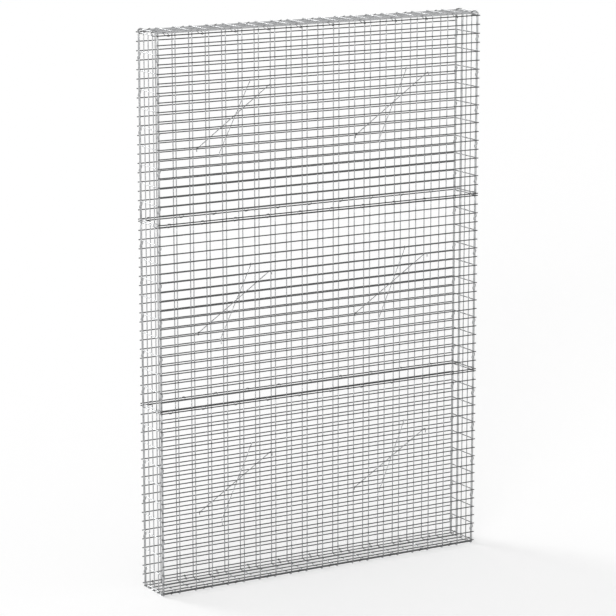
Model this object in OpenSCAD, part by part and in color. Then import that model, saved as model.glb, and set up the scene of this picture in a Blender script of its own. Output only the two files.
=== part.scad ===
// Empty welded-mesh gabion wall: three cages one on another, all in one skin of
// 100 x 50 mm mesh panels. It stands on the base panel's cross wires.
// X runs along the wall, Y from the front (-Y) to the back, Z is up, Z = 0 is the ground.

/* [Mesh] */
// Thickness of the round mesh wire
wire_d = 6; // [4:0.5:7]
// Spacing of the upright wires along the wall
pitch_x = 100; // [80:5:125]
// Spacing of the long wires up the wall
pitch_z = 50; // [42:1:60]
// Spacing of the wires across the depth
pitch_y = 50; // [42:1:60]
// Distance between the edge wires of two panels that are clipped together
seam = 11.5; // [10:0.5:14]
// Length of the long wires past the last upright
tail = 10; // [6:1:14]

/* [Ties] */
// Thickness of the tie rods
tie_d = 5; // [3:0.5:6]
// Distance from a bay line to the lower end of a tie, as a share of a bay
tie_low_share = 0.5; // [0.4:0.05:0.6]
// Distance from a bay line to the upper end of a tie, as a share of a bay
tie_high_share = 0.7; // [0.6:0.05:0.8]
// Length of the hook that hangs over a long wire
tie_hook = 22; // [14:1:30]

/* [Clips] */
// Thickness of the wire that the clips are bent from
clip_d = 3; // [2.5:0.5:4]
// Straight length in the long sides of an oval clip
clip_run = 12; // [10:1:16]
// Angle between an oval clip and the two wires that it holds
clip_tilt = 22; // [20:1:26]

/* [Hidden] */
bays_x = 20;
bays_y = 4;
bays_z = 20;
tiers = 3;
// eight-sided bars with the same steel section as the round wire, to a tenth
tenths = 10;
bar = round(wire_d * 0.974 * tenths) / tenths;
bevel = round(bar * 0.293 * tenths) / tenths;
bar_corner = bar * 0.541;
// two welded wires lie flat against each other
layer = bar;
length = bays_x * pitch_x;
depth_in = bays_y * pitch_y;
tier_h = bays_z * pitch_z;
tier_step = tier_h + seam;
x_end = length / 2;
y_edge = depth_in / 2;
y_face = y_edge + seam;
y_long = y_face + layer;
// short wire ends between two panels, and the longer ones of the front and back at top and bottom
stub = seam / 2 - 1;
stub_free = 14;
// levels of the base and of the first cage
z_base_cross = bar / 2;
z_base_long = z_base_cross + layer;
z_first = z_base_long + seam;
z_cover_long = z_first + tiers * tier_step;
z_cover_cross = z_cover_long + layer;
// room between a clip and the wires, which it meets flat or at a corner
clip_play = 0.3;
clip_snug = bar / 2 + clip_play;
clip_loose = bar_corner + clip_play;
clip_bays = 2;
cross_every = 2;
clip_start = 0.5;
clip_lift = 0.1;
// distance between the two wires that a clip holds along the cover's and the base's edges
face_edge_span = norm([seam + layer, seam]);
end_edge_span = norm([layer, seam + layer]);
ring_fn = 24;
// tie geometry
tie_low_bay_left = 3;
tie_high_bay_left = 6;
tie_shift_bays = 10;
tie_low_rung = 7;
tie_high_rung = 14;
tie_gap = 0.3;
tie_r = tie_d / 2;
tie_fn = 8;
tie_over = bar / 2 + tie_r + 0.15;
tie_run = (tie_high_bay_left - tie_low_bay_left + tie_high_share - tie_low_share) * pitch_x;
tie_rise = (tie_high_rung - tie_low_rung) * pitch_z;
// the second rod of a pair lies beside the first where they pass
tie_side = (tie_d + tie_gap) * sqrt(tie_run * tie_run + tie_rise * tie_rise) / tie_rise;
steel = [0.62, 0.64, 0.65];
steel_tie = [0.55, 0.57, 0.58];
steel_clip = [0.45, 0.46, 0.48];

function z_tier(tier) = z_first + tier * tier_step;
function z_rung(tier, rung) = z_tier(tier) + rung * pitch_z;
function x_bay(bay) = bay * pitch_x - x_end;
function y_bay(bay) = bay * pitch_y - y_edge;

// ---- wires -------------------------------------------------------------

// square section with its four corners cut to an eight-sided one
module section() {
  flat = bar / 2;
  cut = bar / 2 - bevel;
  polygon([[flat, -cut], [flat, cut], [cut, flat], [-cut, flat],
           [-flat, cut], [-flat, -cut], [-cut, -flat], [cut, -flat]]);
}

module wire(len) {
  translate([0, 0, -len / 2])
    linear_extrude(height = len)
      section();
}

module wire_x(y, z) {
  translate([0, y, z])
    rotate([0, 90, 0])
      wire(length + 2 * tail);
}

module wire_y(x, z) {
  translate([x, 0, z])
    rotate([90, 0, 0])
      wire(depth_in + 2 * stub);
}

// upright of one tier, whose ends below the first tier and above the last have a length of their own
module wire_z(x, y, tier, outer_stub) {
  below = tier == 0 ? outer_stub : stub;
  above = tier == tiers - 1 ? outer_stub : stub;
  translate([x, y, z_tier(tier) + (tier_h + above - below) / 2])
    wire(tier_h + above + below);
}

// ---- panels ------------------------------------------------------------

module face_panel(side, tier) {
  color(steel)
    union() {
      for (bay = [0 : bays_x])
        wire_z(x_bay(bay), side * y_face, tier, stub_free);
      for (rung = [0 : bays_z])
        wire_x(side * y_long, z_rung(tier, rung));
    }
}

module end_panel(side, tier) {
  color(steel)
    union() {
      for (bay = [0 : bays_y])
        wire_z(side * x_end, y_bay(bay), tier, stub);
      for (rung = [0 : cross_every : bays_z])
        wire_y(side * (x_end + layer), z_rung(tier, rung));
    }
}

module flat_panel(z_long, z_cross) {
  color(steel)
    union() {
      for (bay = [0 : bays_y])
        wire_x(y_bay(bay), z_long);
      for (bay = [0 : bays_x])
        wire_y(x_bay(bay), z_cross);
    }
}

// ---- tie rods ----------------------------------------------------------

// straight rod between two points, a little longer than the span at both ends
module rod(a, b) {
  d = b - a;
  len = norm(d);
  turn = atan2(d[1], d[0]);
  lean = acos(d[2] / len);
  translate(a)
    rotate([0, lean, turn])
      translate([0, 0, -tie_r / 2])
        rotate([0, 0, 180 / tie_fn])
          cylinder(h = len + tie_r, r = tie_r, $fn = tie_fn);
}

// rod with a hook over a long wire of the panel at each end
module tie(x_low, side_low, tier) {
  y_in = y_long - bar / 2 - tie_r - tie_gap;
  y_out = y_long + bar / 2 + tie_r + tie_gap;
  z_low = z_rung(tier, tie_low_rung) + tie_over;
  z_high = z_rung(tier, tie_high_rung) + tie_over;
  x_high = x_low + tie_run;
  color(steel_tie)
    union() {
      rod([x_low, side_low * y_out, z_low - tie_hook], [x_low, side_low * y_out, z_low]);
      rod([x_low, side_low * y_in, z_low], [x_low, side_low * y_out, z_low]);
      rod([x_low, side_low * y_in, z_low], [x_high, -side_low * y_in, z_high]);
      rod([x_high, -side_low * y_in, z_high], [x_high, -side_low * y_out, z_high]);
      rod([x_high, -side_low * y_out, z_high - tie_hook], [x_high, -side_low * y_out, z_high]);
    }
}

module tie_a(pair, tier) {
  tie(x_bay(tie_low_bay_left + tie_low_share + pair * tie_shift_bays), 1, tier);
}

module tie_b(pair, tier) {
  tie(x_bay(tie_low_bay_left + tie_low_share + pair * tie_shift_bays) + tie_side, -1, tier);
}

// ---- clips -------------------------------------------------------------

module stadium(run, wide) {
  for (end = [-1, 1])
    translate([end * run / 2, 0])
      circle(d = wide, $fn = ring_fn);
  square([run, wide], center = true);
}

// closed ring of square wire in its own X-Y plane, with a straight run along X
module ring(run, inner) {
  linear_extrude(height = clip_d, center = true)
    difference() {
      stadium(run, inner + 2 * clip_d);
      stadium(run, inner);
    }
}

// oval clip round two wires along its X, which lie apart along its Y
module oval_clip(span, half_gap) {
  rotate([0, clip_tilt, 0])
    ring(clip_run, span + 2 * half_gap);
}

// tight clip across two wires along its X, which lie apart along its Y
module tight_clip(span, half_gap) {
  rotate([90, 0, 90])
    ring(span, 2 * half_gap);
}

// puts clips on two wires along X, at (y, z) points a and b
module on_x(x, a, b) {
  d = b - a;
  translate([x, (a[0] + b[0]) / 2, (a[1] + b[1]) / 2])
    rotate([atan2(d[1], d[0]), 0, 0])
      children();
}

// puts clips on two wires along Y, at (x, z) points a and b
module on_y(y, a, b) {
  d = b - a;
  translate([(a[0] + b[0]) / 2, y, (a[1] + b[1]) / 2])
    rotate([0, -atan2(d[1], d[0]), 0])
      rotate([0, 0, -90])
        children();
}

module face_joint_clips(side, joint) {
  color(steel_clip)
    for (bay = [0 : clip_bays : bays_x - 1])
      on_x(x_bay(bay + clip_start),
           [side * y_long, z_rung(joint, bays_z)],
           [side * y_long, z_rung(joint + 1, 0)])
        oval_clip(seam, clip_snug);
}

module end_joint_clips(side) {
  color(steel_clip)
    for (joint = [0 : tiers - 2])
      for (bay = [clip_start, bays_y - clip_start])
        on_y(y_bay(bay),
             [side * (x_end + layer), z_rung(joint, bays_z)],
             [side * (x_end + layer), z_rung(joint + 1, 0)])
          oval_clip(seam, clip_snug);
}

module face_cover_clips(side) {
  color(steel_clip)
    for (bay = [0 : clip_bays : bays_x - 1])
      on_x(x_bay(bay + clip_start),
           [side * y_long, z_rung(tiers - 1, bays_z)],
           [side * y_edge, z_cover_long])
        oval_clip(face_edge_span, clip_loose);
}

module end_cover_clips(side) {
  color(steel_clip)
    for (bay = [clip_start, bays_y - clip_start])
      on_y(y_bay(bay),
           [side * (x_end + layer), z_rung(tiers - 1, bays_z)],
           [side * x_end, z_cover_cross])
        oval_clip(end_edge_span, clip_loose);
}

module face_base_clips(side) {
  color(steel_clip)
    for (bay = [0 : clip_bays : bays_x - 1])
      on_x(x_bay(bay + clip_start),
           [side * y_long, z_first],
           [side * y_edge, z_base_long])
        tight_clip(face_edge_span, clip_loose);
}

// the clips at the ends are open below, so that nothing reaches under the base
module end_base_clips(side) {
  color(steel_clip)
    difference() {
      for (bay = [clip_start, bays_y - clip_start])
        on_y(y_bay(bay),
             [side * (x_end + layer), z_first],
             [side * x_end, z_base_cross])
          tight_clip(end_edge_span, clip_loose);
      translate([side * x_end, 0, clip_lift - seam / 2])
        cube([2 * seam, 2 * y_face, seam], center = true);
    }
}

module corner_clips(side_x, side_y) {
  color(steel_clip)
    for (tier = [0 : tiers - 1])
      for (rung = [clip_bays - clip_start : 2 * clip_bays : bays_z - 1])
        translate([side_x * x_end, side_y * (y_edge + y_face) / 2, z_rung(tier, rung)])
          rotate([0, 90, 0])
            oval_clip(seam, clip_snug);
}

// ---- assembly ----------------------------------------------------------

face_panel(-1, 0);  // front_panel_lower
face_panel(-1, 1);  // front_panel_middle
face_panel(-1, 2);  // front_panel_upper
face_panel(1, 0);  // back_panel_lower
face_panel(1, 1);  // back_panel_middle
face_panel(1, 2);  // back_panel_upper
end_panel(-1, 0);  // left_side_lower
end_panel(-1, 1);  // left_side_middle
end_panel(-1, 2);  // left_side_upper
end_panel(1, 0);  // right_side_lower
end_panel(1, 1);  // right_side_middle
end_panel(1, 2);  // right_side_upper
flat_panel(z_base_long, z_base_cross);  // base_panel
flat_panel(z_cover_long, z_cover_cross);  // top_cover
tie_a(0, 0);  // tie_lower_left_a
tie_b(0, 0);  // tie_lower_left_b
tie_a(1, 0);  // tie_lower_right_a
tie_b(1, 0);  // tie_lower_right_b
tie_a(0, 1);  // tie_middle_left_a
tie_b(0, 1);  // tie_middle_left_b
tie_a(1, 1);  // tie_middle_right_a
tie_b(1, 1);  // tie_middle_right_b
tie_a(0, 2);  // tie_upper_left_a
tie_b(0, 2);  // tie_upper_left_b
tie_a(1, 2);  // tie_upper_right_a
tie_b(1, 2);  // tie_upper_right_b
face_joint_clips(-1, 0);  // front_joint_clips_lower
face_joint_clips(-1, 1);  // front_joint_clips_upper
face_joint_clips(1, 0);  // back_joint_clips_lower
face_joint_clips(1, 1);  // back_joint_clips_upper
end_joint_clips(-1);  // left_joint_clips
end_joint_clips(1);  // right_joint_clips
face_cover_clips(-1);  // front_cover_clips
face_cover_clips(1);  // back_cover_clips
end_cover_clips(-1);  // left_cover_clips
end_cover_clips(1);  // right_cover_clips
face_base_clips(-1);  // front_base_clips
face_base_clips(1);  // back_base_clips
end_base_clips(-1);  // left_base_clips
end_base_clips(1);  // right_base_clips
corner_clips(-1, -1);  // front_left_corner_clips
corner_clips(1, -1);  // front_right_corner_clips
corner_clips(-1, 1);  // back_left_corner_clips
corner_clips(1, 1);  // back_right_corner_clips
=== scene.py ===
"""Empty three-tier gabion wall of welded mesh: the looks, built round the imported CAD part.

Every CAD node is replaced by a piece of the same name with "_look" added: round drawn wires with
cut ends and weld beads, tie rods with bent hooks, and clips bent from round wire.
All lengths are in metres. +X runs along the wall, -Y is its front, and the ground is at Z = 0.
"""

import math

import bpy
import numpy as np
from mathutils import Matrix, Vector

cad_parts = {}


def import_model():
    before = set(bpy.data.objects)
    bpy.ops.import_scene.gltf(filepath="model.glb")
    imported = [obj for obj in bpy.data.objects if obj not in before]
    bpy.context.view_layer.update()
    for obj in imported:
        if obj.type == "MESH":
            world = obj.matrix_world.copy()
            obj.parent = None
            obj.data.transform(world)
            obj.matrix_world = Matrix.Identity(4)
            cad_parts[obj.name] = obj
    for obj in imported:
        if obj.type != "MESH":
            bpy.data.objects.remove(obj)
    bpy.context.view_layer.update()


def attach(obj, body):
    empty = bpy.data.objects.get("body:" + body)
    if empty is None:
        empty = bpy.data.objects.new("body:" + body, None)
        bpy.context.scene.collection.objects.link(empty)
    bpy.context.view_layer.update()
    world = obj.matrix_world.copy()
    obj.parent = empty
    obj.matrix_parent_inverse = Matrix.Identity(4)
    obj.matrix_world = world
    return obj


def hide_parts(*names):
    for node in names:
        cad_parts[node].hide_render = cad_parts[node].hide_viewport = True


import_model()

# ---- sizes, the same as the CAD part's ----------------------------------------------------------
WIRE_D = 0.006
LAYER = 0.0058
SEAM = 0.0115
PITCH_X = 0.100
PITCH_Y = 0.050
PITCH_Z = 0.050
BAYS_X = 20
BAYS_Y = 4
BAYS_Z = 20
TIERS = ("lower", "middle", "upper")
CROSS_EVERY = 2
TAIL = 0.010
STUB_CLEAR = 0.001
STUB = SEAM / 2 - STUB_CLEAR
STUB_FREE = 0.014
TIE_D = 0.005
TIE_GAP = 0.0003
TIE_LIFT = 0.00015
TIE_HOOK = 0.022
TIE_LOW = (3.5, 7)
TIE_HIGH = (6.7, 14)
TIE_PAIRS = {"left": 0, "right": 10}
CLIP_D = 0.003
CLIP_RUN = 0.012
CLIP_TILT = math.radians(22)
CLIP_PLAY = 0.0003
CLIP_BAYS = range(0, BAYS_X, 2)
CLIP_START = 0.5
CORNER_CLIP_RUNGS = range(2, BAYS_Z, 4)
GROUND_GAP = 0.0001
# the CAD part's bars are octagons: from the centre to a corner, where the flats are 1 apart
OCTAGON_CORNER = 0.541

# ---- places that follow from them ---------------------------------------------------------------
X_END = BAYS_X * PITCH_X / 2
Y_EDGE = BAYS_Y * PITCH_Y / 2
Y_FACE = Y_EDGE + SEAM
Y_LONG = Y_FACE + LAYER
TIER_H = BAYS_Z * PITCH_Z
Z_BASE_CROSS = LAYER / 2
Z_BASE_LONG = Z_BASE_CROSS + LAYER
Z_FIRST = Z_BASE_LONG + SEAM
Z_COVER_LONG = Z_FIRST + len(TIERS) * (TIER_H + SEAM)
Z_COVER_CROSS = Z_COVER_LONG + LAYER
SIDES = {"front": -1, "back": 1}
ENDS = {"left": -1, "right": 1}

# ---- painted light and shade: how bright each run of wire is, by the way it lies, next to the uprights ---
UPRIGHT = 1.0
# long wires: painted shade, deepest on the edge wires at the joints and at the top
LONG_PAINTED_SHADE = 0.3
EDGE_LONG_PAINTED_SHADE = 0.12
# cross wires of the left end and of the right end: painted light on the left, painted shade on the
# right
END_CROSS_PAINTED_LIGHT = {-1: 1.38, 1: 0.65}
# long and cross wires of the base and the cover: painted shade below 1, painted light above 1
BASE_LONG_PAINTED_SHADE, BASE_CROSS_PAINTED_LIGHT = 0.3, 1.7
COVER_LONG_PAINTED_LIGHT, COVER_CROSS_PAINTED_LIGHT = 1.3, 1.2
# tie rods whose low end is at the back and at the front: painted shade on the first, painted
# highlight on the second
TIE_PAINTED_LIGHT = {1: 0.6, -1: 1.1}
DARK_CLIP = 0.28

# ---- how fine the meshes are --------------------------------------------------------------------
WIRE_SIDES = 10
TIE_SIDES = 12
CLIP_SIDES = 8
RING_STEP = 0.050
ARC_STEP = math.radians(22.5)
SHARP_ANGLE = math.radians(50)

# ---- how the wires are made ---------------------------------------------------------------------
SEED = 11
SWAY = 0.00025
SWAY_WAVES = (0.35, 1.3)
SWAY_SHARES = (0.5, 0.3, 0.2)
CUT_CHAMFER = 0.0004
CLIP_END_GAP = 0.0012
TIE_BEND = TIE_D
BEAD_R = 0.0034
BEAD_SIDES = 8
# depths and radii of a weld bead's three rings
BEAD_DEPTHS = 0.0016 * np.array([-1.0, 0.0, 1.0])
BEAD_RADII = BEAD_R * np.array([0.6, 1.0, 0.6])
# how bare of zinc the steel is, from 0 to 1
ZINCED, BEAD_BARE, CUT_BARE = 0.0, 0.5, 1.0


def x_bay(bay):
    """Where an upright of the long panels stands. Bays are counted from the left end."""
    return bay * PITCH_X - X_END


def y_bay(bay):
    """Where a wire of the short way lies. Bays are counted from the front."""
    return bay * PITCH_Y - Y_EDGE


def z_rung(tier, rung):
    """Height of a wire that runs along a tier. Rungs are counted from its lowest one."""
    return Z_FIRST + tier * (TIER_H + SEAM) + rung * PITCH_Z


def unit(v):
    v = np.asarray(v, float)
    return v / np.linalg.norm(v)


# ---- mesh maker ---------------------------------------------------------------------------------
class Wirework:
    """Collects round wires and weld beads, and turns them into one mesh."""

    def __init__(self):
        self.verts = []
        self.faces = []
        self.bare = []
        self.tone = []
        self.count = 0

    def rings(self, centres, radii, normals, binormals, sides, bare, tone):
        """A skin over rings of points, closed by a flat face at each end."""
        turn = np.arange(sides) * 2 * math.pi / sides
        spokes = (np.cos(turn)[None, :, None] * normals[:, None, :]
                  + np.sin(turn)[None, :, None] * binormals[:, None, :])
        points = centres[:, None, :] + radii[:, None, None] * spokes
        rows = len(centres)
        first = self.count
        self.verts.append(points.reshape(-1, 3))
        self.bare.append(np.repeat(bare, sides))
        # tone of each point: the wire's brightness, with painted light and shade by the way it
        # lies
        self.tone.append(np.full(rows * sides, tone))
        self.count += rows * sides
        for row in range(rows - 1):
            here = first + row * sides
            there = here + sides
            for k in range(sides):
                n = (k + 1) % sides
                self.faces.append((here + k, here + n, there + n, there + k))
        last = first + (rows - 1) * sides
        self.faces.append(tuple(range(first + sides - 1, first - 1, -1)))
        self.faces.append(tuple(range(last, last + sides)))

    def wire(self, points, radius, sides, tone):
        """Round wire along points, with sheared ends that have a small chamfer."""
        points = np.asarray(points, float)
        head = points[0] + unit(points[1] - points[0]) * CUT_CHAMFER
        foot = points[-1] + unit(points[-2] - points[-1]) * CUT_CHAMFER
        points = np.vstack([points[:1], head, points[1:-1], foot, points[-1:]])
        radii = np.full(len(points), radius)
        radii[[0, -1]] -= CUT_CHAMFER
        bare = np.full(len(points), ZINCED)
        bare[[0, -1]] = CUT_BARE
        tangents, normals = frames_along(points)
        self.rings(points, radii, normals, np.cross(tangents, normals), sides, bare, tone)

    def bead(self, centre, axis):
        """Squeezed-out metal where two wires are welded. The axis joins the wires' centres."""
        axis = unit(axis)
        off_axis = axis[[1, 2, 0]] + 0.1
        normal = unit(np.cross(axis, off_axis))
        centres = np.asarray(centre) + BEAD_DEPTHS[:, None] * axis
        normals = np.repeat(normal[None], len(centres), axis=0)
        binormals = np.repeat(np.cross(axis, normal)[None], len(centres), axis=0)
        bare = np.full(len(centres), BEAD_BARE)
        self.rings(centres, BEAD_RADII, normals, binormals, BEAD_SIDES, bare, UPRIGHT)

    def piece(self, node, material, slot):
        """The mesh as a piece that stands for a CAD node."""
        mesh = bpy.data.meshes.new(node + "_look")
        mesh.from_pydata(np.vstack(self.verts).tolist(), [], self.faces)
        # the tone attribute carries the painted light and shade of each wire
        for name, values in (("bare", self.bare), ("tone", self.tone)):
            attribute = mesh.attributes.new(name, "FLOAT", "POINT")
            attribute.data.foreach_set("value", np.concatenate(values).astype(np.float32))
        mesh.shade_smooth()
        mesh.set_sharp_from_angle(angle=SHARP_ANGLE)
        mesh.materials.append(material)
        obj = bpy.data.objects.new(node + "_look", mesh)
        bpy.context.scene.collection.objects.link(obj)
        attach(obj, "root")
        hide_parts(node)


def frames_along(points):
    """Tangents, and normals carried along them without twist."""
    steps = np.gradient(points, axis=0)
    tangents = steps / np.linalg.norm(steps, axis=1)[:, None]
    side = np.eye(3)[np.argmin(np.abs(tangents[0]))]
    normals = np.zeros_like(points)
    for i, t in enumerate(tangents):
        side = side - t * np.dot(side, t)
        side = side / np.linalg.norm(side)
        normals[i] = side
    return tangents, normals


def rounded(corners, radius):
    """Points along a bent rod: straight legs, with an arc of that radius at each inner corner."""
    corners = [np.asarray(c, float) for c in corners]
    path = [corners[0]]
    for before, corner, after in zip(corners, corners[1:], corners[2:]):
        a = unit(before - corner)
        b = unit(after - corner)
        half = math.acos(np.clip(np.dot(a, b), -1, 1)) / 2
        reach = radius / math.tan(half)
        centre = corner + unit(a + b) * radius / math.sin(half)
        start = corner + a * reach - centre
        sweep = math.pi - 2 * half
        across = unit(corner + b * reach - centre - start * math.cos(sweep)) * radius
        steps = max(2, math.ceil(sweep / ARC_STEP))
        for k in range(steps + 1):
            angle = sweep * k / steps
            path.append(centre + start * math.cos(angle) + across * math.sin(angle))
    path.append(corners[-1])
    return path


# ---- wire mesh panels ---------------------------------------------------------------------------
def sway(rng, along):
    """How far a drawn wire wanders from its line, at each place along it."""
    wave = rng.uniform(*SWAY_WAVES, len(SWAY_SHARES))
    phase = rng.uniform(0, 2 * math.pi, len(SWAY_SHARES))
    return SWAY * np.sin(2 * math.pi * along[:, None] / wave + phase) @ np.array(SWAY_SHARES)


def straight_wire(work, start, end, aside, tone, rng):
    """Straight wire of a mesh panel, which sways a little in the direction aside."""
    start = np.asarray(start, float)
    end = np.asarray(end, float)
    length = np.linalg.norm(end - start)
    steps = max(2, round(length / RING_STEP))
    along = np.linspace(0, length, steps + 1)
    points = start + along[:, None] * unit(end - start)
    points = points + sway(rng, along)[:, None] * np.asarray(aside, float)
    work.wire(points, WIRE_D / 2, WIRE_SIDES, tone)


def upright_ends(tier, outer_stub):
    """Heights of the uprights' two ends. The stub is the one at the ground or at the top."""
    below = outer_stub if tier == 0 else STUB
    above = outer_stub if tier == len(TIERS) - 1 else STUB
    return z_rung(tier, 0) - below, z_rung(tier, BAYS_Z) + above


def long_painted_shade(tier, rung):
    """Painted shade of a face's long wire. The edge wires at the joints and at the top are the
    darkest.
    """
    edge = rung == BAYS_Z or (rung == 0 and tier > 0)
    return EDGE_LONG_PAINTED_SHADE if edge else LONG_PAINTED_SHADE


def face_panel(side, tier, rng):
    """Front or back panel of a tier, with the long wires outside the uprights."""
    work = Wirework()
    low, high = upright_ends(tier, STUB_FREE)
    y_upright = side * Y_FACE
    y_long = side * Y_LONG
    y_weld = side * (Y_FACE + LAYER / 2)
    ends = X_END + TAIL
    for bay in range(BAYS_X + 1):
        x = x_bay(bay)
        start, end = (x, y_upright, low), (x, y_upright, high)
        straight_wire(work, start, end, (1, 0, 0), UPRIGHT, rng)
    for rung in range(BAYS_Z + 1):
        z = z_rung(tier, rung)
        start, end = (-ends, y_long, z), (ends, y_long, z)
        straight_wire(work, start, end, (0, 0, 1), long_painted_shade(tier, rung), rng)
        for bay in range(BAYS_X + 1):
            work.bead((x_bay(bay), y_weld, z), (0, 1, 0))
    return work


def end_panel(side, tier, rng):
    """Left or right end panel of a tier, with a cross wire at every second rung."""
    work = Wirework()
    low, high = upright_ends(tier, STUB)
    x_upright = side * X_END
    x_cross = side * (X_END + LAYER)
    x_weld = side * (X_END + LAYER / 2)
    ends = Y_EDGE + STUB
    for bay in range(BAYS_Y + 1):
        y = y_bay(bay)
        start, end = (x_upright, y, low), (x_upright, y, high)
        straight_wire(work, start, end, (0, 1, 0), UPRIGHT, rng)
    for rung in range(0, BAYS_Z + 1, CROSS_EVERY):
        z = z_rung(tier, rung)
        start, end = (x_cross, -ends, z), (x_cross, ends, z)
        # cross wires take the painted light of the left end and the painted shade of the right end
        straight_wire(work, start, end, (0, 0, 1), END_CROSS_PAINTED_LIGHT[side], rng)
        for bay in range(BAYS_Y + 1):
            work.bead((x_weld, y_bay(bay), z), (1, 0, 0))
    return work


def flat_panel(z_long, z_cross, painted_light_long, painted_light_cross, rng):
    """Base or cover panel, its long and cross wires lighter or darker with painted light and
    shade.
    """
    work = Wirework()
    x_ends = X_END + TAIL
    y_ends = Y_EDGE + STUB
    for bay in range(BAYS_Y + 1):
        y = y_bay(bay)
        start, end = (-x_ends, y, z_long), (x_ends, y, z_long)
        straight_wire(work, start, end, (0, 1, 0), painted_light_long, rng)
    for bay in range(BAYS_X + 1):
        x = x_bay(bay)
        start, end = (x, -y_ends, z_cross), (x, y_ends, z_cross)
        straight_wire(work, start, end, (1, 0, 0), painted_light_cross, rng)
        for across in range(BAYS_Y + 1):
            work.bead((x, y_bay(across), (z_long + z_cross) / 2), (0, 0, 1))
    return work


# ---- tie rods -----------------------------------------------------------------------------------
def tie(x_low, side_low, tier):
    """Rod from a long wire of one face up to a long wire of the other, hooked over both."""
    inside = Y_LONG - LAYER / 2 - TIE_D / 2 - TIE_GAP
    outside = Y_LONG + LAYER / 2 + TIE_D / 2 + TIE_GAP
    over = LAYER / 2 + TIE_D / 2 + TIE_LIFT
    x_high = x_low + (TIE_HIGH[0] - TIE_LOW[0]) * PITCH_X
    z_low = z_rung(tier, TIE_LOW[1]) + over
    z_high = z_rung(tier, TIE_HIGH[1]) + over
    low, high = side_low, -side_low
    corners = [(x_low, low * outside, z_low - TIE_HOOK),
               (x_low, low * outside, z_low),
               (x_low, low * inside, z_low),
               (x_high, high * inside, z_high),
               (x_high, high * outside, z_high),
               (x_high, high * outside, z_high - TIE_HOOK)]
    work = Wirework()
    # the rod's brightness is painted light and shade, set by the side of its low end
    work.wire(rounded(corners, TIE_BEND), TIE_D / 2, TIE_SIDES, TIE_PAINTED_LIGHT[side_low])
    return work


def tie_spread():
    """Distance along X between the two rods of a pair, which pass side by side."""
    run = (TIE_HIGH[0] - TIE_LOW[0]) * PITCH_X
    rise = (TIE_HIGH[1] - TIE_LOW[1]) * PITCH_Z
    return (TIE_D + TIE_GAP) * math.hypot(run, rise) / rise


# ---- clips --------------------------------------------------------------------------------------
def stadium(centre, u, v, run, inner):
    """Centre line of a ring with a straight run along u and half-round ends."""
    radius = (inner + CLIP_D) / 2
    steps = round(math.pi / ARC_STEP)
    points = []
    for end in (1, -1):
        for k in range(steps + 1):
            angle = -math.pi / 2 + math.pi * k / steps
            points.append(centre + end * u * (run / 2 + radius * math.cos(angle))
                          + end * v * radius * math.sin(angle))
    return np.array(points)


def bent_ring(work, points, tone):
    """Ring closed by hand: its cut ends meet, but for a small gap, in the last straight side."""
    a, b = points[-1], points[0]
    middle = (a + b) / 2
    back = unit(b - a) * CLIP_END_GAP / 2
    work.wire(np.vstack([middle + back, points, middle - back]), CLIP_D / 2, CLIP_SIDES, tone)


def pair_frame(wire_dir, a, b):
    """Middle of two wires through a and b, the direction across, its normal, and the distance."""
    a = np.asarray(a, float)
    b = np.asarray(b, float)
    across = unit(b - a)
    return (a + b) / 2, across, np.cross(wire_dir, across), np.linalg.norm(b - a)


def oval_clip(work, wire_dir, a, b, half_gap, tone=UPRIGHT):
    """Oval ring round two wires that pass through points a and b."""
    wire_dir = np.asarray(wire_dir, float)
    centre, across, normal, span = pair_frame(wire_dir, a, b)
    u = math.cos(CLIP_TILT) * wire_dir - math.sin(CLIP_TILT) * normal
    bent_ring(work, stadium(centre, u, across, CLIP_RUN, span + 2 * half_gap), tone)


def tight_clip(work, wire_dir, a, b, half_gap, tone=UPRIGHT):
    """Ring square across two wires. One that would reach the ground is left open there."""
    centre, across, normal, span = pair_frame(np.asarray(wire_dir, float), a, b)
    points = stadium(centre, across, normal, span, 2 * half_gap)
    clear = points[:, 2] > CLIP_D / 2 + GROUND_GAP
    if clear.all():
        bent_ring(work, points, tone)
        return
    first = int(np.argmin(clear))
    kept = np.roll(points, -first, axis=0)[np.roll(clear, -first)]
    work.wire(kept, CLIP_D / 2, CLIP_SIDES, tone)


# from a wire's centre to the clip: on the flats and on the corners of the CAD part's bars
SNUG = LAYER / 2 + CLIP_PLAY
LOOSE = LAYER * OCTAGON_CORNER + CLIP_PLAY
END_BAYS = (CLIP_START, BAYS_Y - CLIP_START)
DOWN = (0, 0, -1)
ALONG = (1, 0, 0)
ACROSS = (0, -1, 0)


def face_joint_clips(side, joint):
    """Clips round the two long wires where the front or the back of two tiers meet."""
    work = Wirework()
    for bay in CLIP_BAYS:
        x = x_bay(bay + CLIP_START)
        oval_clip(work, ALONG, (x, side * Y_LONG, z_rung(joint, BAYS_Z)),
                  (x, side * Y_LONG, z_rung(joint + 1, 0)), SNUG)
    return work


def end_joint_clips(side):
    """Clips round the two cross wires at both tier joints of one end."""
    work = Wirework()
    x = side * (X_END + LAYER)
    for joint in range(len(TIERS) - 1):
        for bay in END_BAYS:
            oval_clip(work, ACROSS, (x, y_bay(bay), z_rung(joint, BAYS_Z)),
                      (x, y_bay(bay), z_rung(joint + 1, 0)), SNUG)
    return work


def face_edge_clips(side, clip, z_panel, z_flat):
    """Clips that hold the base or the cover to the front or the back."""
    work = Wirework()
    for bay in CLIP_BAYS:
        x = x_bay(bay + CLIP_START)
        held = (x, side * Y_LONG, z_panel), (x, side * Y_EDGE, z_flat)
        clip(work, ALONG, *held, LOOSE, DARK_CLIP)
    return work


def end_edge_clips(side, clip, z_panel, z_flat):
    """Clips that hold the base or the cover to one end."""
    work = Wirework()
    for bay in END_BAYS:
        y = y_bay(bay)
        held = (side * (X_END + LAYER), y, z_panel), (side * X_END, y, z_flat)
        clip(work, ACROSS, *held, LOOSE, DARK_CLIP)
    return work


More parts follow.
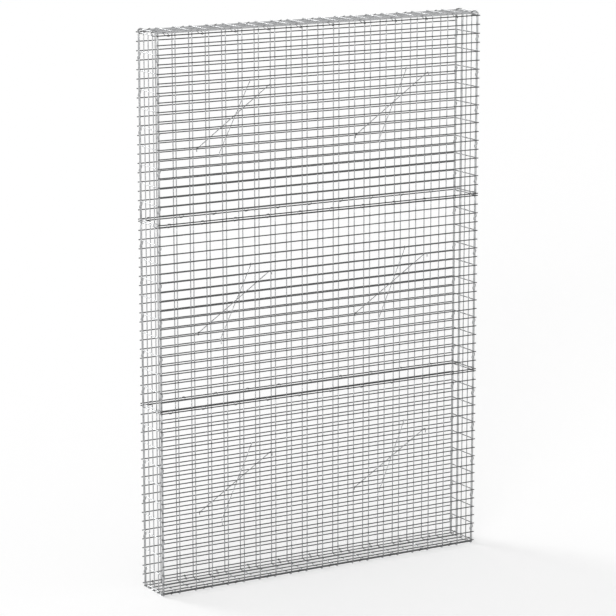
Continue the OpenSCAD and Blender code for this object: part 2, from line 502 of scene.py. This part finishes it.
def corner_clips(side_x, side_y):
    """Clips round the two uprights that stand side by side at one corner, in all tiers."""
    work = Wirework()
    x = side_x * X_END
    near, far = sorted((side_y * Y_EDGE, side_y * Y_FACE))
    for tier in range(len(TIERS)):
        for rung in CORNER_CLIP_RUNGS:
            z = z_rung(tier, rung - CLIP_START)
            oval_clip(work, DOWN, (x, near, z), (x, far, z), SNUG)
    return work


# ---- materials ----------------------------------------------------------------------------------
MESH_TONE = (0.36, 0.365, 0.37)
TIE_TONE = (0.45, 0.455, 0.46)
CLIP_TONE = (0.3, 0.304, 0.31)
# the base colour is mixed from black to the tone times this, so that painted light can lift a wire
# above its tone
LIGHTEST = 2.2
ZINC_ROUGHNESS = 0.4
ZINC_METALLIC = 0.8
BUMP_STRENGTH = 0.25
BUMP_DISTANCE = 0.0002
# scales of the textures, per metre
SPANGLE_SCALE = 320.0
CLOUD_SCALE = 7.0
GRAIN_SCALE = 1400.0
# darkest and lightest shade that each of them gives
SPANGLE_SHADE = (0.86, 1.12)
CLOUD_SHADE = (0.78, 1.2)
GRAIN_SHADE = (0.95, 1.05)
# shade where the steel is zinced and where it is bare
BARE_SHADE = (1.0, 0.62)
# how far the clouds take the roughness below and above its value
CLOUD_ROUGHNESS = (-0.08, 0.1)


def zinc(name, tone):
    """Dull zinc with spangle, cloudy patches and fine grain, darker at cut ends and welds."""
    material = bpy.data.materials.new(name)
    material.use_nodes = True
    nodes = material.node_tree.nodes
    links = material.node_tree.links
    shader = nodes["Principled BSDF"]
    shader.inputs["Metallic"].default_value = ZINC_METALLIC
    place = nodes.new("ShaderNodeTexCoord").outputs["Object"]

    def texture(kind, scale, output, **settings):
        """A texture laid over the object."""
        node = nodes.new(kind)
        for key, value in settings.items():
            node.inputs[key].default_value = value
        node.inputs["Scale"].default_value = scale
        links.new(place, node.inputs["Vector"])
        return node.outputs[output]

    def along(name):
        """What the mesh says about each point under that name."""
        node = nodes.new("ShaderNodeAttribute")
        node.attribute_name = name
        return node.outputs["Fac"]

    def spread(value, low, high):
        """A value from 0 to 1, stretched to run from low to high."""
        node = nodes.new("ShaderNodeMapRange")
        node.inputs["To Min"].default_value = low
        node.inputs["To Max"].default_value = high
        links.new(value, node.inputs["Value"])
        return node.outputs["Result"]

    def product(a, b):
        node = nodes.new("ShaderNodeMath")
        node.operation = "MULTIPLY"
        links.new(a, node.inputs[0])
        links.new(b, node.inputs[1])
        return node.outputs["Value"]

    spangle = texture("ShaderNodeTexVoronoi", SPANGLE_SCALE, "Color", Randomness=1.0)
    clouds = texture("ShaderNodeTexNoise", CLOUD_SCALE, "Fac", Detail=5.0, Roughness=0.6)
    grain = texture("ShaderNodeTexNoise", GRAIN_SCALE, "Fac", Detail=2.0)
    # the mesh's tone attribute, which carries painted light and shade by the way each wire lies,
    # scales the colour here
    shade = product(product(spread(spangle, *SPANGLE_SHADE), spread(clouds, *CLOUD_SHADE)),
                    product(spread(along("bare"), *BARE_SHADE), along("tone")))
    grain_shade = spread(grain, *[value / LIGHTEST for value in GRAIN_SHADE])
    colour = nodes.new("ShaderNodeMix")
    colour.data_type = "RGBA"
    colour.inputs["A"].default_value = (0, 0, 0, 1)
    colour.inputs["B"].default_value = (*[c * LIGHTEST for c in tone], 1)
    links.new(product(shade, grain_shade), colour.inputs["Factor"])
    links.new(colour.outputs["Result"], shader.inputs["Base Color"])
    rough = spread(clouds, *[ZINC_ROUGHNESS + change for change in CLOUD_ROUGHNESS])
    links.new(rough, shader.inputs["Roughness"])
    bump = nodes.new("ShaderNodeBump")
    bump.inputs["Strength"].default_value = BUMP_STRENGTH
    bump.inputs["Distance"].default_value = BUMP_DISTANCE
    links.new(grain, bump.inputs["Height"])
    links.new(bump.outputs["Normal"], shader.inputs["Normal"])
    return material


def seen_directly(nodes, links):
    """1 for camera, mirror and glass rays, and 0 for the rays that light the object."""
    path = nodes.new("ShaderNodeLightPath")
    total = path.outputs["Is Camera Ray"]
    for name in ("Is Glossy Ray", "Is Transmission Ray"):
        add = nodes.new("ShaderNodeMath")
        add.operation = "ADD"
        add.use_clamp = True
        links.new(total, add.inputs[0])
        links.new(path.outputs[name], add.inputs[1])
        total = add.outputs["Value"]
    return total


# ---- surroundings -------------------------------------------------------------------------------
FLOOR_HALF = 90.0
FLOOR_TONE = 0.86
FLOOR_ROUGHNESS = 0.9
WHITE = (1, 1, 1, 1)
WORLD_LIGHT = 0.45
WORLD_SEEN = 1.0
LAMP_SOFTNESS = math.radians(25)
# each lamp's name, its strength and where it shines from
LAMPS = (("key", 2.2, (-0.65, -0.74, 0.17)),
         ("back", 1.6, (-0.40, 0.83, 0.45)))


def floor_lift():
    """What the lit floor lacks to white."""
    lamps = sum(strength * unit(place)[2] / math.pi for _, strength, place in LAMPS)
    return 1.0 - FLOOR_TONE * (WORLD_LIGHT + lamps)


def floor():
    """Pale floor that keeps the object's shadow and is lifted to white where it is seen."""
    mesh = bpy.data.meshes.new("floor")
    h = FLOOR_HALF
    mesh.from_pydata([(-h, -h, 0), (h, -h, 0), (h, h, 0), (-h, h, 0)], [], [(0, 1, 2, 3)])
    material = bpy.data.materials.new("floor_white")
    material.use_nodes = True
    nodes = material.node_tree.nodes
    links = material.node_tree.links
    lit = nodes["Principled BSDF"]
    lit.inputs["Base Color"].default_value = (FLOOR_TONE, FLOOR_TONE, FLOOR_TONE, 1)
    lit.inputs["Roughness"].default_value = FLOOR_ROUGHNESS
    lit.inputs["Specular IOR Level"].default_value = 0.0
    lift = nodes.new("ShaderNodeEmission")
    share = nodes.new("ShaderNodeMath")
    share.operation = "MULTIPLY"
    share.inputs[1].default_value = floor_lift()
    links.new(seen_directly(nodes, links), share.inputs[0])
    links.new(share.outputs["Value"], lift.inputs["Strength"])
    both = nodes.new("ShaderNodeAddShader")
    links.new(lit.outputs["BSDF"], both.inputs[0])
    links.new(lift.outputs["Emission"], both.inputs[1])
    links.new(both.outputs["Shader"], nodes["Material Output"].inputs["Surface"])
    mesh.materials.append(material)
    obj = bpy.data.objects.new("floor", mesh)
    bpy.context.scene.collection.objects.link(obj)


def world():
    """Even light from all round, white where it is seen."""
    made = bpy.data.worlds.new("studio")
    bpy.context.scene.world = made
    made.use_nodes = True
    nodes = made.node_tree.nodes
    links = made.node_tree.links
    light = nodes["Background"]
    light.inputs["Color"].default_value = WHITE
    light.inputs["Strength"].default_value = WORLD_LIGHT
    white = nodes.new("ShaderNodeBackground")
    white.inputs["Color"].default_value = WHITE
    white.inputs["Strength"].default_value = WORLD_SEEN
    mix = nodes.new("ShaderNodeMixShader")
    links.new(seen_directly(nodes, links), mix.inputs["Fac"])
    links.new(light.outputs["Background"], mix.inputs[1])
    links.new(white.outputs["Background"], mix.inputs[2])
    links.new(mix.outputs["Shader"], nodes["World Output"].inputs["Surface"])


def lamps():
    for name, strength, place in LAMPS:
        data = bpy.data.lights.new(name, "SUN")
        data.energy = strength
        data.angle = LAMP_SOFTNESS
        obj = bpy.data.objects.new(name, data)
        obj.rotation_mode = "QUATERNION"
        obj.rotation_quaternion = Vector(place).to_track_quat("Z", "Y")
        bpy.context.scene.collection.objects.link(obj)


# ---- camera -------------------------------------------------------------------------------------
CAMERA_AT = (-7.860, -13.253, 4.730)
CAMERA_TURN = math.radians(30.58)
CAMERA_DIP = math.radians(11.94)
CAMERA_LENS = 166.9
CAMERA_CLIP = (0.1, 500.0)
SENSOR = 36.0


def camera():
    data = bpy.data.cameras.new("camera")
    data.sensor_width = SENSOR
    data.lens = CAMERA_LENS
    data.clip_start, data.clip_end = CAMERA_CLIP
    obj = bpy.data.objects.new("camera", data)
    obj.location = CAMERA_AT
    obj.rotation_euler = (math.pi / 2 - CAMERA_DIP, 0, -CAMERA_TURN)
    bpy.context.scene.collection.objects.link(obj)
    bpy.context.scene.camera = obj


# ---- assembly -----------------------------------------------------------------------------------
def build_panels(material):
    rng = np.random.default_rng(SEED)
    for tier, tier_name in enumerate(TIERS):
        for name, side in SIDES.items():
            face_panel(side, tier, rng).piece(f"{name}_panel_{tier_name}", material, "mesh_wire")
        for name, side in ENDS.items():
            end_panel(side, tier, rng).piece(f"{name}_side_{tier_name}", material, "mesh_wire")
    base = flat_panel(Z_BASE_LONG, Z_BASE_CROSS, BASE_LONG_PAINTED_SHADE, BASE_CROSS_PAINTED_LIGHT, rng)
    base.piece("base_panel", material, "mesh_wire")
    cover = flat_panel(Z_COVER_LONG, Z_COVER_CROSS, COVER_LONG_PAINTED_LIGHT, COVER_CROSS_PAINTED_LIGHT, rng)
    cover.piece("top_cover", material, "mesh_wire")


def build_ties(material):
    for tier, tier_name in enumerate(TIERS):
        for pair, shift in TIE_PAIRS.items():
            x = x_bay(TIE_LOW[0] + shift)
            first = tie(x, 1, tier)
            first.piece(f"tie_{tier_name}_{pair}_a", material, "tie_rod")
            second = tie(x + tie_spread(), -1, tier)
            second.piece(f"tie_{tier_name}_{pair}_b", material, "tie_rod")


def build_clips(material):
    top = z_rung(len(TIERS) - 1, BAYS_Z)
    for name, side in SIDES.items():
        made = {
            "joint_clips_lower": face_joint_clips(side, 0),
            "joint_clips_upper": face_joint_clips(side, 1),
            "cover_clips": face_edge_clips(side, oval_clip, top, Z_COVER_LONG),
            "base_clips": face_edge_clips(side, tight_clip, Z_FIRST, Z_BASE_LONG),
        }
        for end, side_x in ENDS.items():
            corner_clips(side_x, side).piece(f"{name}_{end}_corner_clips", material, "clip_wire")
        for part, work in made.items():
            work.piece(f"{name}_{part}", material, "clip_wire")
    for name, side in ENDS.items():
        made = {
            "joint_clips": end_joint_clips(side),
            "cover_clips": end_edge_clips(side, oval_clip, top, Z_COVER_CROSS),
            "base_clips": end_edge_clips(side, tight_clip, Z_FIRST, Z_BASE_CROSS),
        }
        for part, work in made.items():
            work.piece(f"{name}_{part}", material, "clip_wire")


build_panels(zinc("mesh_zinc", MESH_TONE))
build_ties(zinc("tie_zinc", TIE_TONE))
build_clips(zinc("clip_zinc", CLIP_TONE))
floor()
world()
lamps()
camera()

bpy.context.scene.view_settings.view_transform = "Standard"
